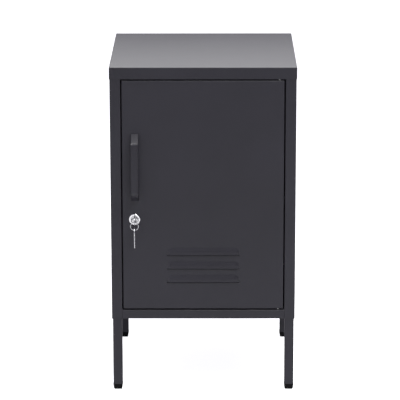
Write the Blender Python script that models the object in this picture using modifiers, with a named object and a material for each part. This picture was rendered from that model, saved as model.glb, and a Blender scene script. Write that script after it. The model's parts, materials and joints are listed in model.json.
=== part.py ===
"""A small steel locker: a folded-sheet body on four square legs, with one louvred pivot door.

Units are metres and +Z is up. Pieces are placed from the empty "locker_frame", whose origin is on
the floor, midway across, in the plane of the lid's front lip. It stands so that the whole object's
box is centred on the world origin.
"""
import math

import bmesh
import bpy
from mathutils import Matrix, Vector

# Overall sizes
cabinet_width = 0.400
cabinet_depth = 0.400
cabinet_height = 0.720
leg_clear_height = 0.1629

# Sheet steel and fits
sheet = 0.0007
bend_radius = 0.0015
bend_steps = 3
fit_gap = 0.0003
cut_overrun = 0.002
weld_distance = 0.00001
screw_merge = 0.00001

# Body panels
lid_skirt = 0.0254
stile_width = 0.023
stile_return = 0.0175
stop_lip = 0.010
rear_flange = 0.015
rail_height = 0.0199
rail_return = 0.010
header_depth = 0.0165
header_upstand = 0.012
floor_upstand = 0.015

# Shelf and its clips
shelf_top_z = 0.432
shelf_front_setback = 0.028
shelf_back_clearance = 0.010
shelf_side_clearance = 0.0015
shelf_edge = 0.018
clip_plate_width = 0.016
clip_plate_height = 0.020
clip_sheet = 0.0012
clip_seat = 0.012
clip_inset_from_shelf_end = 0.040

# Legs and feet
leg_tube = 0.020
leg_wall = 0.0012
leg_corner_radius = 0.0018
leg_side_inset = 0.0018
leg_front_inset = 0.002
leg_plate = 0.050
leg_plate_thickness = 0.002
leg_plate_setback = 0.0005
foot_height = 0.012
foot_collar = 0.0006
foot_taper = 0.0014
foot_edge_radius = 0.0018
foot_spigot_height = 0.012
foot_spigot_clearance = 0.0004
leg_bolt_radius = 0.0025
leg_bolt_head_radius = 0.0048
leg_bolt_head_height = 0.0018
leg_bolt_length = 0.0075
leg_bolt_edge = 0.010
leg_bush_clearance = 0.001

# Door
door_side_gap = 0.0025
door_end_gap = 0.0030
door_thickness = 0.015
door_lip = 0.010
pivot_inboard = 0.0105
pivot_setback = 0.006
pin_radius = 0.0025
pin_head_radius = 0.004
pin_head_height = 0.0015
pin_reach = 0.010
pin_clearance = 0.0003
bush_wall = 0.0009
bush_flange_radius = 0.0048
bush_flange_height = 0.0008
bush_length = 0.005
stiffener_width = 0.060
stiffener_crown = 0.036
stiffener_height = 0.012
stiffener_end_clearance = 0.022
stiffener_above_louvres = 0.0212
buffer_radius = 0.004
buffer_foot = 0.0008
buffer_end_distance = 0.060

# Louvres, pressed out of the door
louvre_width = 0.157
louvre_height = 0.0170
louvre_rise = 0.0028
louvre_slope = 0.0054
louvre_corner = 0.0110
louvre_sheet = 0.0005
louvre_border = 0.0012
louvre_slit = 0.0016
louvre_pitch = 0.0303
louvre_count = 3
louvre_steps = 6
top_louvre_rise = 0.1380

# Pull handle
handle_edge_distance = 0.0270
handle_width = 0.0154
handle_rise = 0.0270
handle_bar_thickness = 0.0075
handle_drop = 0.1156
handle_top_arm = 0.0180
handle_grip = 0.1110
handle_low_arm = 0.0200
handle_foot_length = 0.0150
handle_bend_setback = 0.0060
handle_crown_radius = 0.0030
handle_arm_crown_radius = 0.0012
handle_edge_radius = 0.0010
handle_screw_radius = 0.0020
handle_screw_head_radius = 0.0038
handle_screw_head_height = 0.0022
handle_screw_length = 0.0080
handle_screw_inset = 0.0090

# Cam lock
lock_edge_distance = 0.0259
lock_drop = 0.3044
bezel_radius = 0.0120
bezel_rise = 0.0030
bezel_edge = 0.0010
barrel_radius = 0.0090
barrel_reach = 0.0205
plug_face_radius = 0.0080
plug_face_depth = 0.0030
plug_recess = 0.0004
plug_radius = 0.0060
plug_tail = 0.0034
tail_square = 0.0070
nut_across_flats = 0.0235
nut_height = 0.0035
cam_thickness = 0.0020
cam_width = 0.0160
cam_reach = 0.0280
cam_tip_width = 0.0120
cam_lip_clearance = 0.0038
cam_screw_radius = 0.0020
cam_screw_head_radius = 0.0045
cam_screw_head_height = 0.0020
cam_screw_length = 0.0050
nut_clearance = 0.0004

# Keys and their ring
key_thickness = 0.0019
bow_length = 0.0215
bow_width = 0.0195
bow_hole_radius = 0.0030
bow_hole_edge = 0.0042
neck_length = 0.0045
blade_length = 0.0205
blade_width = 0.0070
blade_tip = 0.0022
bit_depth = 0.0014
bit_pitch = 0.0036
bit_count = 4
key_shoulder_gap = 0.0006
ring_wire_radius = 0.0008
ring_radius = 0.0084
ring_rest_gap = 0.0004

# Shares of a size, and what turns or steps a shape
bolt_crown_share = 0.6
bolt_rim_share = 0.5
screw_crown_share = 0.7
screw_rim_share = 0.4
cam_taper_share = 0.5
round_profile_share = 0.5
facing_share = 0.5
unit = 1.0
half_turn_steps = 12
bow_steps = 28
ring_steps = 40
wire_steps = 10
edge_steps = 2
crown_steps = 3
match_digits = 5

# Finish of each material: colour, roughness, metallic
finishes = {
    "charcoal_powder_coat": ((0.046, 0.044, 0.053, 1.0), 0.45, 0.0),
    "charcoal_handle": ((0.044, 0.042, 0.050, 1.0), 0.38, 0.0),
    "black_plastic": ((0.010, 0.010, 0.011, 1.0), 0.55, 0.0),
    "chrome_plate": ((0.80, 0.80, 0.80, 1.0), 0.15, 1.0),
    "zinc_plate": ((0.52, 0.52, 0.50, 1.0), 0.35, 1.0),
    "key_nickel": ((0.60, 0.60, 0.59, 1.0), 0.28, 1.0),
    "black_nylon": ((0.030, 0.030, 0.032, 1.0), 0.50, 0.0),
}

# Levels that follow from the sizes above
body_inset = sheet + fit_gap
body_half = cabinet_width / 2 - body_inset
body_front = body_inset
body_back = cabinet_depth - body_inset
body_bottom = leg_clear_height
body_top = cabinet_height - body_inset
inner_half = body_half - sheet
opening_half = body_half - stile_width
opening_top = cabinet_height - lid_skirt
opening_bottom = body_bottom + rail_height
floor_top = opening_bottom
stile_back = body_front + stile_return + sheet
back_sheet_front = body_back - 2 * sheet - fit_gap
door_half = opening_half - door_side_gap
door_bottom = opening_bottom + door_end_gap
door_top = opening_top - door_end_gap
door_face = body_front
door_inside = door_face + sheet
top_louvre_z = door_bottom + top_louvre_rise
stiffener_bottom_z = top_louvre_z + stiffener_above_louvres
handle_x = handle_edge_distance - door_half
handle_top_foot_z = door_top - handle_drop
handle_top_bend_z = handle_top_foot_z - handle_top_arm
handle_low_bend_z = handle_top_bend_z - handle_grip
handle_low_foot_z = handle_low_bend_z - handle_low_arm
lock_x = lock_edge_distance - door_half
lock_z = door_top - lock_drop
pivot_x = door_half - pivot_inboard
pivot_y = door_face + pivot_setback
plug_face_y = door_face - bezel_rise + plug_recess
cam_front = stile_back + cam_lip_clearance
hole_centre_from_shoulder = neck_length + bow_length - bow_hole_edge - bow_hole_radius
bow_hole_y = plug_face_y - key_shoulder_gap - hole_centre_from_shoulder
ring_top_z = lock_z - bow_hole_radius + ring_rest_gap + ring_wire_radius
ring_bottom_z = ring_top_z - 2 * ring_radius
front_reach = max(handle_rise - door_face, bow_width / 2 - bow_hole_y)
frame_y = (front_reach - cabinet_depth) / 2

smooth_angle = math.radians(35)
bend_angle = math.radians(20)
round_steps = 32
small_round_steps = 20


def clear_scene():
    for old in list(bpy.data.objects):
        bpy.data.objects.remove(old, do_unlink=True)


def new_collection(name):
    collection = bpy.data.collections.new(name)
    bpy.context.scene.collection.children.link(collection)
    return collection


def make_finish(name):
    colour, roughness, metallic = finishes[name]
    finish = bpy.data.materials.new(name)
    finish.use_nodes = True
    shader = finish.node_tree.nodes["Principled BSDF"]
    shader.inputs["Base Color"].default_value = colour
    shader.inputs["Roughness"].default_value = roughness
    shader.inputs["Metallic"].default_value = metallic
    finish.diffuse_color = colour
    return finish


def make_empty(name, parent, place):
    empty = bpy.data.objects.new(name, None)
    locker.objects.link(empty)
    empty.parent = parent
    empty.location = place
    return empty


def place_piece(name, mesh, parent, finish, place=(0, 0, 0)):
    """A named piece of the locker with a finish of its own."""
    piece = bpy.data.objects.new(name, mesh)
    locker.objects.link(piece)
    piece.parent = parent
    piece.location = place
    own = materials[finish].copy()
    own.name = name + "_finish"
    mesh.materials.clear()
    mesh.materials.append(own)
    return piece


def mesh_from(bm, name):
    bmesh.ops.recalc_face_normals(bm, faces=bm.faces)
    mesh = bpy.data.meshes.new(name)
    bm.to_mesh(mesh)
    bm.free()
    return mesh


def shade_round(mesh):
    mesh.shade_smooth()
    mesh.set_sharp_from_angle(angle=smooth_angle)


def add_bend(piece, radius=bend_radius, steps=bend_steps):
    """Rounds every fold that turns by more than the bend angle."""
    bend = piece.modifiers.new("bend", "BEVEL")
    bend.width = radius
    bend.segments = steps
    bend.limit_method = "ANGLE"
    bend.angle_limit = bend_angle
    bend.use_clamp_overlap = False


def add_wall(piece, thickness, side):
    """Thickens an open surface on one side: -1 is away from its normals."""
    wall = piece.modifiers.new("wall", "SOLIDIFY")
    wall.thickness = thickness
    wall.offset = side
    wall.use_even_offset = True


def add_boolean(piece, tool, operation):
    step = piece.modifiers.new(tool.name, "BOOLEAN")
    step.operation = operation
    step.solver = "EXACT"
    step.object = tool


def make_tool(name, mesh, parent, place=(0, 0, 0)):
    """A hidden shape that cuts a piece or is welded to it."""
    tool = bpy.data.objects.new(name, mesh)
    cutters.objects.link(tool)
    tool.parent = parent
    tool.location = place
    tool.hide_render = True
    tool.display_type = "WIRE"
    return tool


def drill(piece, name, radius, low, high, axis, centre, parent, steps=round_steps, place=(0, 0, 0)):
    """Cuts a round hole along an axis, from low to high, at a centre on the other two axes."""
    mesh = rod_mesh(name, radius, low, high, axis, centre, steps)
    add_boolean(piece, make_tool(name, mesh, parent, place), "DIFFERENCE")


def cut_box(piece, name, low, high, parent):
    """Cuts away the box between two corners, given in any order."""
    corner_low = [min(a, b) for a, b in zip(low, high)]
    corner_high = [max(a, b) for a, b in zip(low, high)]
    tool = make_tool(name, box_mesh(name, corner_low, corner_high), parent)
    add_boolean(piece, tool, "DIFFERENCE")


def box_mesh(name, low, high):
    bm = bmesh.new()
    bmesh.ops.create_cube(bm, size=unit)
    size = [b - a for a, b in zip(low, high)]
    middle = [(a + b) / 2 for a, b in zip(low, high)]
    bmesh.ops.scale(bm, vec=size, verts=bm.verts)
    bmesh.ops.translate(bm, vec=middle, verts=bm.verts)
    return mesh_from(bm, name)


def rod_mesh(name, radius, low, high, axis, centre=(0, 0), steps=round_steps):
    """A cylinder along an axis; centre gives its place on the other two axes, in X, Y, Z order."""
    bm = bmesh.new()
    bmesh.ops.create_cone(
        bm, cap_ends=True, segments=steps, radius1=radius, radius2=radius, depth=high - low
    )
    bmesh.ops.translate(bm, vec=(0, 0, (low + high) / 2), verts=bm.verts)
    turn_to_axis(bm, axis)
    offset = list(centre)
    offset.insert("XYZ".index(axis), 0)
    bmesh.ops.translate(bm, vec=offset, verts=bm.verts)
    mesh = mesh_from(bm, name)
    shade_round(mesh)
    return mesh


def turn_to_axis(bm, axis):
    """Turns a shape that was made along +Z so that it lies along +X or +Y."""
    quarter = math.pi / 2
    if axis == "X":
        bmesh.ops.rotate(bm, verts=bm.verts, matrix=Matrix.Rotation(quarter, 3, "Y"))
    if axis == "Y":
        bmesh.ops.rotate(bm, verts=bm.verts, matrix=Matrix.Rotation(-quarter, 3, "X"))


def folded_mesh(name, path, low, high, axis, outside):
    """An open strip of sheet: a path of two coordinates carried along an axis.

    The first fold of the path has its outer face towards the direction named outside.
    """
    place = {
        "X": lambda u, v, w: (w, u, v),
        "Y": lambda u, v, w: (v, w, u),
        "Z": lambda u, v, w: (u, v, w),
    }[axis]
    bm = bmesh.new()
    line = [bm.verts.new(place(u, v, low)) for u, v in path]
    edges = [bm.edges.new(pair) for pair in zip(line, line[1:])]
    grown = bmesh.ops.extrude_edge_only(bm, edges=edges)["geom"]
    moved = [g for g in grown if isinstance(g, bmesh.types.BMVert)]
    travel = Vector(place(0, 0, high)) - Vector(place(0, 0, low))
    bmesh.ops.translate(bm, vec=travel, verts=moved)
    bmesh.ops.recalc_face_normals(bm, faces=bm.faces)
    first = edges[0].link_faces[0]
    if first.normal.dot(Vector(outside)) < 0:
        bmesh.ops.reverse_faces(bm, faces=bm.faces)
    mesh = bpy.data.meshes.new(name)
    bm.to_mesh(mesh)
    bm.free()
    return mesh


def pan_mesh(name, low, high, open_side, lip=0):
    """A box that is open on one side, with an optional lip turned inward round the opening."""
    bm = bmesh.new()
    bmesh.ops.create_cube(bm, size=unit)
    size = [b - a for a, b in zip(low, high)]
    middle = [(a + b) / 2 for a, b in zip(low, high)]
    bmesh.ops.scale(bm, vec=size, verts=bm.verts)
    bmesh.ops.translate(bm, vec=middle, verts=bm.verts)
    side = Vector(open_side)
    bm.normal_update()
    gone = [f for f in bm.faces if f.normal.dot(side) > facing_share]
    bmesh.ops.delete(bm, geom=gone, context="FACES_ONLY")
    if lip:
        rim = [e for e in bm.edges if e.is_boundary]
        grown = bmesh.ops.extrude_edge_only(bm, edges=rim)["geom"]
        moved = [g for g in grown if isinstance(g, bmesh.types.BMVert)]
        shrink = [1 if s else 1 - 2 * lip / length for s, length in zip(side, size)]
        about = Matrix.Translation([-m for m in middle])
        bmesh.ops.scale(bm, vec=shrink, verts=moved, space=about)
    bmesh.ops.recalc_face_normals(bm, faces=bm.faces)
    mesh = bpy.data.meshes.new(name)
    bm.to_mesh(mesh)
    bm.free()
    return mesh


def turned_piece(name, profile, parent, finish, place, axis, steps, closed=False):
    """A turned shape. The profile's radii and heights run down its outer side, top to bottom."""
    bm = bmesh.new()
    points = [bm.verts.new((radius, 0, height)) for radius, height in profile]
    for pair in zip(points, points[1:]):
        bm.edges.new(pair)
    if closed:
        bm.edges.new((points[-1], points[0]))
    mesh = bpy.data.meshes.new(name)
    bm.to_mesh(mesh)
    bm.free()
    piece = place_piece(name, mesh, parent, finish, place)
    piece.rotation_euler = axis
    spin = piece.modifiers.new("turn", "SCREW")
    spin.axis = "Z"
    spin.steps = steps
    spin.render_steps = steps
    spin.use_merge_vertices = True
    spin.merge_threshold = screw_merge
    spin.use_smooth_shade = False
    return piece


def outline_mesh(name, loops, thickness):
    """A flat plate in the XY plane, from an outer loop of points and any holes in it."""
    curve = bpy.data.curves.new(name, "CURVE")
    curve.dimensions = "2D"
    curve.fill_mode = "BOTH"
    curve.extrude = thickness / 2
    for loop in loops:
        spline = curve.splines.new("POLY")
        spline.points.add(len(loop) - 1)
        for point, (x, y) in zip(spline.points, loop):
            point.co = (x, y, 0, 1)
        spline.use_cyclic_u = True
    holder = bpy.data.objects.new(name, curve)
    cutters.objects.link(holder)
    bpy.context.view_layer.update()
    seen = holder.evaluated_get(bpy.context.evaluated_depsgraph_get())
    mesh = bpy.data.meshes.new_from_object(seen)
    bpy.data.objects.remove(holder, do_unlink=True)
    bm = bmesh.new()
    bm.from_mesh(mesh)
    bmesh.ops.remove_doubles(bm, verts=bm.verts, dist=weld_distance)
    bmesh.ops.recalc_face_normals(bm, faces=bm.faces)
    bm.to_mesh(mesh)
    bm.free()
    return mesh


def turn_mesh(mesh, *columns):
    """Turns a mesh so that its X, Y and Z lie along the three directions given."""
    mesh.transform(Matrix(columns).transposed().to_4x4())


def arc(centre, radius, start, end, steps):
    """Points along an arc, angles in degrees."""
    angles = [math.radians(start + (end - start) * i / steps) for i in range(steps + 1)]
    return [(centre[0] + radius * math.cos(a), centre[1] + radius * math.sin(a)) for a in angles]


def circle(centre, radius, steps):
    return arc(centre, radius, 0, 360 - 360 / steps, steps - 1)


# Body panels


def build_side_panel(name, side):
    """One folded side: stop lip on the lock side only, stile return, stile, side, rear flange."""
    path = [
        (side * opening_half, body_front),
        (side * body_half, body_front),
        (side * body_half, body_back),
        (side * (body_half - rear_flange), body_back),
    ]
    stop_y = body_front + stile_return
    path.insert(0, (side * opening_half, stop_y))
    if side < 0:
        path.insert(0, (side * (opening_half - stop_lip), stop_y))
    outside = (0, -1, 0) if side < 0 else (-1, 0, 0)
    mesh = folded_mesh(name, path, body_bottom, body_top, "Z", outside)
    piece = place_piece(name, mesh, frame, "charcoal_powder_coat")
    add_bend(piece)
    add_wall(piece, sheet, -1)
    inner_x = side * (opening_half - stop_lip - cut_overrun)
    inner = (inner_x, body_front + sheet + fit_gap, body_bottom - cut_overrun)
    outer = (side * (opening_half + 2 * sheet), stile_back + cut_overrun, floor_top + fit_gap)
    cut_box(piece, name + "_notch", inner, outer, frame)


def build_lid():
    low = (-cabinet_width / 2, 0, cabinet_height - lid_skirt)
    high = (cabinet_width / 2, cabinet_depth, cabinet_height)
    mesh = pan_mesh("lid", low, high, (0, 0, -1))
    piece = place_piece("lid", mesh, frame, "charcoal_powder_coat")
    add_bend(piece)
    add_wall(piece, sheet, -1)


def build_back_panel():
    low = (-inner_half + fit_gap, back_sheet_front, body_bottom)
    high = (inner_half - fit_gap, back_sheet_front + sheet, body_top)
    mesh = box_mesh("back_panel", low, high)
    place_piece("back_panel", mesh, frame, "charcoal_powder_coat")


def build_floor_panel():
    """The floor, with its front edge folded down as the rail and its rear edge turned up."""
    rear = back_sheet_front - fit_gap - sheet
    path = [
        (body_front + rail_return, body_bottom),
        (body_front, body_bottom),
        (body_front, floor_top),
        (rear, floor_top),
        (rear, floor_top + floor_upstand),
    ]
    half = inner_half - fit_gap
    mesh = folded_mesh("floor_panel", path, -half, half, "X", (0, 0, -1))
    piece = place_piece("floor_panel", mesh, frame, "charcoal_powder_coat")
    add_bend(piece)
    add_wall(piece, sheet, -1)
    below = body_bottom - cut_overrun
    for side, across in ((-1, "left"), (1, "right")):
        inner = (side * (opening_half - fit_gap), body_front - cut_overrun, below)
        outer_x = side * (body_half + cut_overrun)
        rail_outer = (
            outer_x,
            body_front + rail_return + cut_overrun,
            floor_top - sheet - bend_radius,
        )
        cut_box(piece, "rail_end_" + across, inner, rail_outer, frame)
        corner = (outer_x, body_front + sheet + bend_radius, floor_top + cut_overrun)
        cut_box(piece, "floor_corner_" + across, inner, corner, frame)
    hole_low = floor_top - sheet - cut_overrun
    hole_high = floor_top + cut_overrun
    radius = leg_bolt_radius + fit_gap
    for place in leg_bolt_places():
        drill(piece, "floor_bolt_hole", radius, hole_low, hole_high, "Z", place, frame, small_round_steps)
    place = (pivot_x, pivot_y)
    radius = bush_outer + fit_gap
    drill(piece, "floor_bush_hole", radius, hole_low, hole_high, "Z", place, frame)


def build_header():
    """The folded rail over the door, behind the lid's front lip."""
    path = [
        (body_front, body_top),
        (body_front, opening_top),
        (body_front + header_depth, opening_top),
        (body_front + header_depth, opening_top + header_upstand),
    ]
    half = opening_half - fit_gap
    mesh = folded_mesh("header_rail", path, -half, half, "X", (0, -1, 0))
    piece = place_piece("header_rail", mesh, frame, "charcoal_powder_coat")
    add_bend(piece)
    add_wall(piece, sheet, -1)
    hole_low = opening_top - cut_overrun
    hole_high = opening_top + sheet + cut_overrun
    place = (pivot_x, pivot_y)
    radius = bush_outer + fit_gap
    drill(piece, "header_bush_hole", radius, hole_low, hole_high, "Z", place, frame)


def build_shelf():
    half = inner_half - shelf_side_clearance
    low = (-half, shelf_front_setback, shelf_top_z - shelf_edge)
    high = (half, back_sheet_front - shelf_back_clearance, shelf_top_z)
    mesh = pan_mesh("shelf", low, high, (0, 0, -1))
    piece = place_piece("shelf", mesh, frame, "charcoal_powder_coat")
    add_bend(piece)
    add_wall(piece, sheet, -1)


def build_shelf_clip(name, side, y):
    """An angle against the side panel, with a seat turned in under the shelf's side edge."""
    wall_x = side * (inner_half - fit_gap)
    seat_z = shelf_top_z - shelf_edge - fit_gap
    path = [
        (seat_z, wall_x - side * clip_seat),
        (seat_z, wall_x),
        (seat_z - clip_plate_height, wall_x),
    ]
    half = clip_plate_width / 2
    mesh = folded_mesh(name, path, y - half, y + half, "Y", (0, 0, 1))
    piece = place_piece(name, mesh, frame, "zinc_plate")
    add_wall(piece, clip_sheet, -1)


def build_shelf_clips():
    front = shelf_front_setback + clip_inset_from_shelf_end
    rear = back_sheet_front - shelf_back_clearance - clip_inset_from_shelf_end
    for side, across in ((-1, "left"), (1, "right")):
        for y, along in ((front, "front"), (rear, "rear")):
            build_shelf_clip(f"shelf_clip_{along}_{across}", side, y)


# Legs and feet

leg_centre_x = body_half - leg_side_inset - leg_tube / 2
leg_front_y = body_front + leg_front_inset + leg_tube / 2
leg_rear_y = cabinet_depth - leg_front_y
leg_top = floor_top - sheet - fit_gap
bush_inner = pin_radius + pin_clearance
bush_outer = bush_inner + bush_wall


def leg_places():
    for side, across in ((-1, "left"), (1, "right")):
        for y, along in ((leg_front_y, "front"), (leg_rear_y, "rear")):
            yield f"{along}_{across}", side, side * leg_centre_x, y


def plate_low_high(side, x, y):
    """The welded plate reaches inward from just inside the tube's outer corner."""
    reach = leg_tube / 2 - leg_plate_setback
    outer_x = x + side * reach
    inner_x = outer_x - side * leg_plate
    towards_back = 1 if y < cabinet_depth / 2 else -1
    outer_y = y - towards_back * reach
    inner_y = outer_y + towards_back * leg_plate
    low = (min(outer_x, inner_x), min(outer_y, inner_y), leg_top - leg_plate_thickness)
    high = (max(outer_x, inner_x), max(outer_y, inner_y), leg_top)
    return low, high


def leg_bolt_places():
    """Two bolts a leg, along the plate's edge that is furthest from the cabinet's front or back."""
    for _, side, x, y in leg_places():
        low, high = plate_low_high(side, x, y)
        bolt_y = high[1] - leg_bolt_edge if y < cabinet_depth / 2 else low[1] + leg_bolt_edge
        yield low[0] + leg_bolt_edge, bolt_y
        yield high[0] - leg_bolt_edge, bolt_y


def round_edges(bm, edges, radius):
    bmesh.ops.bevel(
        bm,
        geom=edges,
        offset=radius,
        segments=edge_steps,
        profile=round_profile_share,
        affect="EDGES",
    )


def tube_block(name, half, low, high, radius, place):
    """A square bar with rounded upright corners, made from a cube whose upright edges are rounded."""
    bm = bmesh.new()
    bmesh.ops.create_cube(bm, size=unit)
    bmesh.ops.scale(bm, vec=(2 * half, 2 * half, high - low), verts=bm.verts)
    upright = [e for e in bm.edges if abs(e.verts[0].co.z - e.verts[1].co.z) > half / 2]
    round_edges(bm, upright, radius)
    bmesh.ops.translate(bm, vec=(place[0], place[1], (low + high) / 2), verts=bm.verts)
    return mesh_from(bm, name)


def build_legs():
    for label, side, x, y in leg_places():
        name = "leg_" + label
        half = leg_tube / 2
        tube_top = leg_top - leg_plate_thickness / 2
        mesh = tube_block(name, half, foot_height + fit_gap, tube_top, leg_corner_radius, (x, y))
        leg = place_piece(name, mesh, frame, "charcoal_powder_coat")
        low, high = plate_low_high(side, x, y)
        plate = make_tool(name + "_plate", box_mesh(name + "_plate", low, high), frame)
        add_boolean(leg, plate, "UNION")
        bore_half = half - leg_wall
        bore = tube_block(
            name + "_bore",
            bore_half,
            foot_height - cut_overrun,
            leg_top - leg_plate_thickness,
            leg_corner_radius / 2,
            (x, y),
        )
        add_boolean(leg, make_tool(name + "_bore", bore, frame), "DIFFERENCE")
    labels = [label for label, _, _, _ in leg_places()]
    hole_low = leg_top - leg_plate_thickness - cut_overrun
    hole_high = leg_top + cut_overrun
    room = bush_outer + leg_bush_clearance
    near = (pivot_x - room, leg_front_y - leg_tube / 2 - cut_overrun, hole_low)
    far = (pivot_x + room, pivot_y + room, hole_high)
    cut_box(bpy.data.objects["leg_front_right"], "bush_notch", near, far, frame)
    radius = leg_bolt_radius + fit_gap
    for index, place in enumerate(leg_bolt_places()):
        leg = bpy.data.objects["leg_" + labels[index // 2]]
        drill(leg, "leg_bolt_hole", radius, hole_low, hole_high, "Z", place, frame, small_round_steps)
        build_leg_bolt(f"leg_bolt_{index + 1}", *place)


def build_leg_bolt(name, x, y):
    seat = floor_top + fit_gap
    profile = [
        (0, leg_bolt_head_height),
        (leg_bolt_head_radius * bolt_crown_share, leg_bolt_head_height),
        (leg_bolt_head_radius, leg_bolt_head_height * bolt_rim_share),
        (leg_bolt_head_radius, 0),
        (leg_bolt_radius, 0),
        (leg_bolt_radius, -leg_bolt_length),
        (0, -leg_bolt_length),
    ]
    turned_piece(name, profile, frame, "zinc_plate", (x, y, seat), (0, 0, 0), small_round_steps)


def build_feet():
    """Moulded plugs that are a little wider than the tube at the top and taper to a rounded base."""
    for label, _, x, y in leg_places():
        name = "foot_" + label
        spigot_half = leg_tube / 2 - leg_wall - foot_spigot_clearance
        foot_width = leg_tube + 2 * foot_collar
        bm = bmesh.new()
        bmesh.ops.create_cube(bm, size=unit)
        bmesh.ops.scale(bm, vec=(foot_width, foot_width, foot_height), verts=bm.verts)
        bmesh.ops.translate(bm, vec=(0, 0, foot_height / 2), verts=bm.verts)
        base = [v for v in bm.verts if v.co.z < foot_height / 2]
        narrow = (leg_tube - 2 * foot_taper) / foot_width
        bmesh.ops.scale(bm, vec=(narrow, narrow, 1), verts=base)
        lower = [e for e in bm.edges if min(v.co.z for v in e.verts) < foot_height / 2]
        round_edges(bm, lower, foot_edge_radius)
        mesh = mesh_from(bm, name)
        foot = place_piece(name, mesh, frame, "black_plastic", (x, y, 0))
        low = (-spigot_half, -spigot_half, foot_height / 2)
        high = (spigot_half, spigot_half, foot_height + foot_spigot_height)
        spigot = make_tool(name + "_spigot", box_mesh(name + "_spigot", low, high), frame, (x, y, 0))
        add_boolean(foot, spigot, "UNION")


# Pivot bushes


def build_bush(name, z, up):
    """A flanged bush: the flange lies in the door gap and the sleeve in the rail."""
    profile = [
        (bush_inner, bush_length),
        (bush_outer, bush_length),
        (bush_outer, 0),
        (bush_flange_radius, 0),
        (bush_flange_radius, -bush_flange_height),
        (bush_inner, -bush_flange_height),
    ]
    facing = (0, 0, 0) if up else (math.pi, 0, 0)
    place = (pivot_x, pivot_y, z - fit_gap if up else z + fit_gap)
    turned_piece(name, profile, frame, "black_nylon", place, facing, round_steps, closed=True)


# Door


def louvre_stations():
    """Distances in from a louvre's edge: across its flat border, then in even steps."""
    flat = louvre_border + fit_gap
    steps = range(louvre_steps + 1)
    return [0] + [flat + louvre_corner * step / louvre_steps for step in steps]


def louvre_climb(from_end, from_top):
    """The share of the full rise at distances in from the edges; the upper corners are round.

    The sheet turns up within the slope and then eases off towards the lower edge.
    """
    inward = [distance - louvre_border - fit_gap for distance in (from_end, from_top)]
    inset = min(inward)
    if max(inward) < louvre_corner:
        inset = louvre_corner - math.hypot(*(louvre_corner - distance for distance in inward))
    climb = min(max(inset / louvre_slope, 0), 1)
    left_below = min(max(1 - inward[1] / louvre_height, 0), 1)
    return climb * climb * (3 - 2 * climb) * (1 - left_below * left_below)


def louvre_outline():
    """The opening behind a louvre, seen from the front: square below and round above."""
    half = louvre_width / 2
    across = half - louvre_corner
    up = louvre_height - louvre_corner
    right = arc((across, up), louvre_corner, 0, 90, louvre_steps)
    left = arc((-across, up), louvre_corner, 90, 180, louvre_steps)
    return [(-half, -louvre_slit), (half, -louvre_slit)] + right + left


def louvre_hood(name, parent, z):
    """The hood of one louvre: a thin shell that climbs from its top and ends to an open lower edge.

    Its flat border lies inside the door's sheet.
    """
    half = louvre_width / 2 + louvre_border
    height = louvre_height + louvre_border
    across = [distance - half for distance in louvre_stations()]
    across += [-x for x in reversed(across)]
    upward = [height - distance for distance in reversed(louvre_stations())]
    upward.insert(0, 0)
    columns = len(across) - 1
    rows = len(upward) - 1
    bm = bmesh.new()
    bmesh.ops.create_grid(bm, x_segments=columns, y_segments=rows, size=unit / 2)
    border_y = (sheet - louvre_sheet) / 2
    for vert in bm.verts:
        x = across[round((vert.co.x / unit + 1 / 2) * columns)]
        up = upward[round((vert.co.y / unit + 1 / 2) * rows)]
        climb = louvre_climb(half - abs(x), height - up)
        vert.co = (x, border_y - louvre_rise * climb, up)
    mesh = bpy.data.meshes.new(name)
    bm.to_mesh(mesh)
    bm.free()
    hood = make_tool(name, mesh, parent, (0, 0, z))
    add_wall(hood, louvre_sheet, -1)
    return hood


def build_door():
    low = (-door_half - pivot_x, -pivot_setback, door_bottom)
    high = (door_half - pivot_x, door_thickness - pivot_setback, door_top)
    mesh = pan_mesh("door_panel", low, high, (0, 1, 0), lip=door_lip)
    door = place_piece("door_panel", mesh, door_pivot, "charcoal_powder_coat")
    add_bend(door)
    add_wall(door, sheet, -1)
    back = sheet + cut_overrun
    for index in range(louvre_count):
        z = top_louvre_z - louvre_height - index * louvre_pitch
        label = f"louvre_slot_{index + 1}"
        slot = outline_mesh(label, [louvre_outline()], 2 * back)
        turn_mesh(slot, (1, 0, 0), (0, 0, 1), (0, -1, 0))
        slot_tool = make_tool(label, slot, door_face_frame, (0, 0, z))
        add_boolean(door, slot_tool, "DIFFERENCE")
        hood = louvre_hood(f"louvre_hood_{index + 1}", door_face_frame, z)
        add_boolean(door, hood, "UNION")
    radius = barrel_radius + fit_gap
    drill(door, "lock_hole", radius, -cut_overrun, back, "Y", (lock_x, lock_z), door_face_frame)
    radius = handle_screw_radius + fit_gap
    for label, z in handle_screw_levels():
        name = "handle_hole_" + label
        place = (handle_x, z)
        drill(door, name, radius, -cut_overrun, back, "Y", place, door_face_frame, small_round_steps)
    radius = pin_radius + fit_gap
    for label, z in (("top", door_top), ("bottom", door_bottom)):
        drill(door, "pin_hole_" + label, radius, z - back, z + back, "Z", (0, 0), door_pivot)


def build_stiffener():
    """A pressed channel behind the middle of the door, in the shape of a hat."""
    foot = stiffener_width / 2
    crown = stiffener_crown / 2
    near = door_inside + fit_gap + sheet
    far = near + stiffener_height - sheet
    slope = (foot - crown) / 2
    path = [
        (-foot, near),
        (-crown - slope / 2, near),
        (-crown, far),
        (crown, far),
        (crown + slope / 2, near),
        (foot, near),
    ]
    high = door_top - stiffener_end_clearance
    mesh = folded_mesh("door_stiffener", path, stiffener_bottom_z, high, "Z", (0, 1, 0))
    mesh.transform(Matrix.Translation((-pivot_x, -pivot_y, 0)))
    piece = place_piece("door_stiffener", mesh, door_pivot, "charcoal_powder_coat")
    add_wall(piece, sheet, -1)


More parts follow.
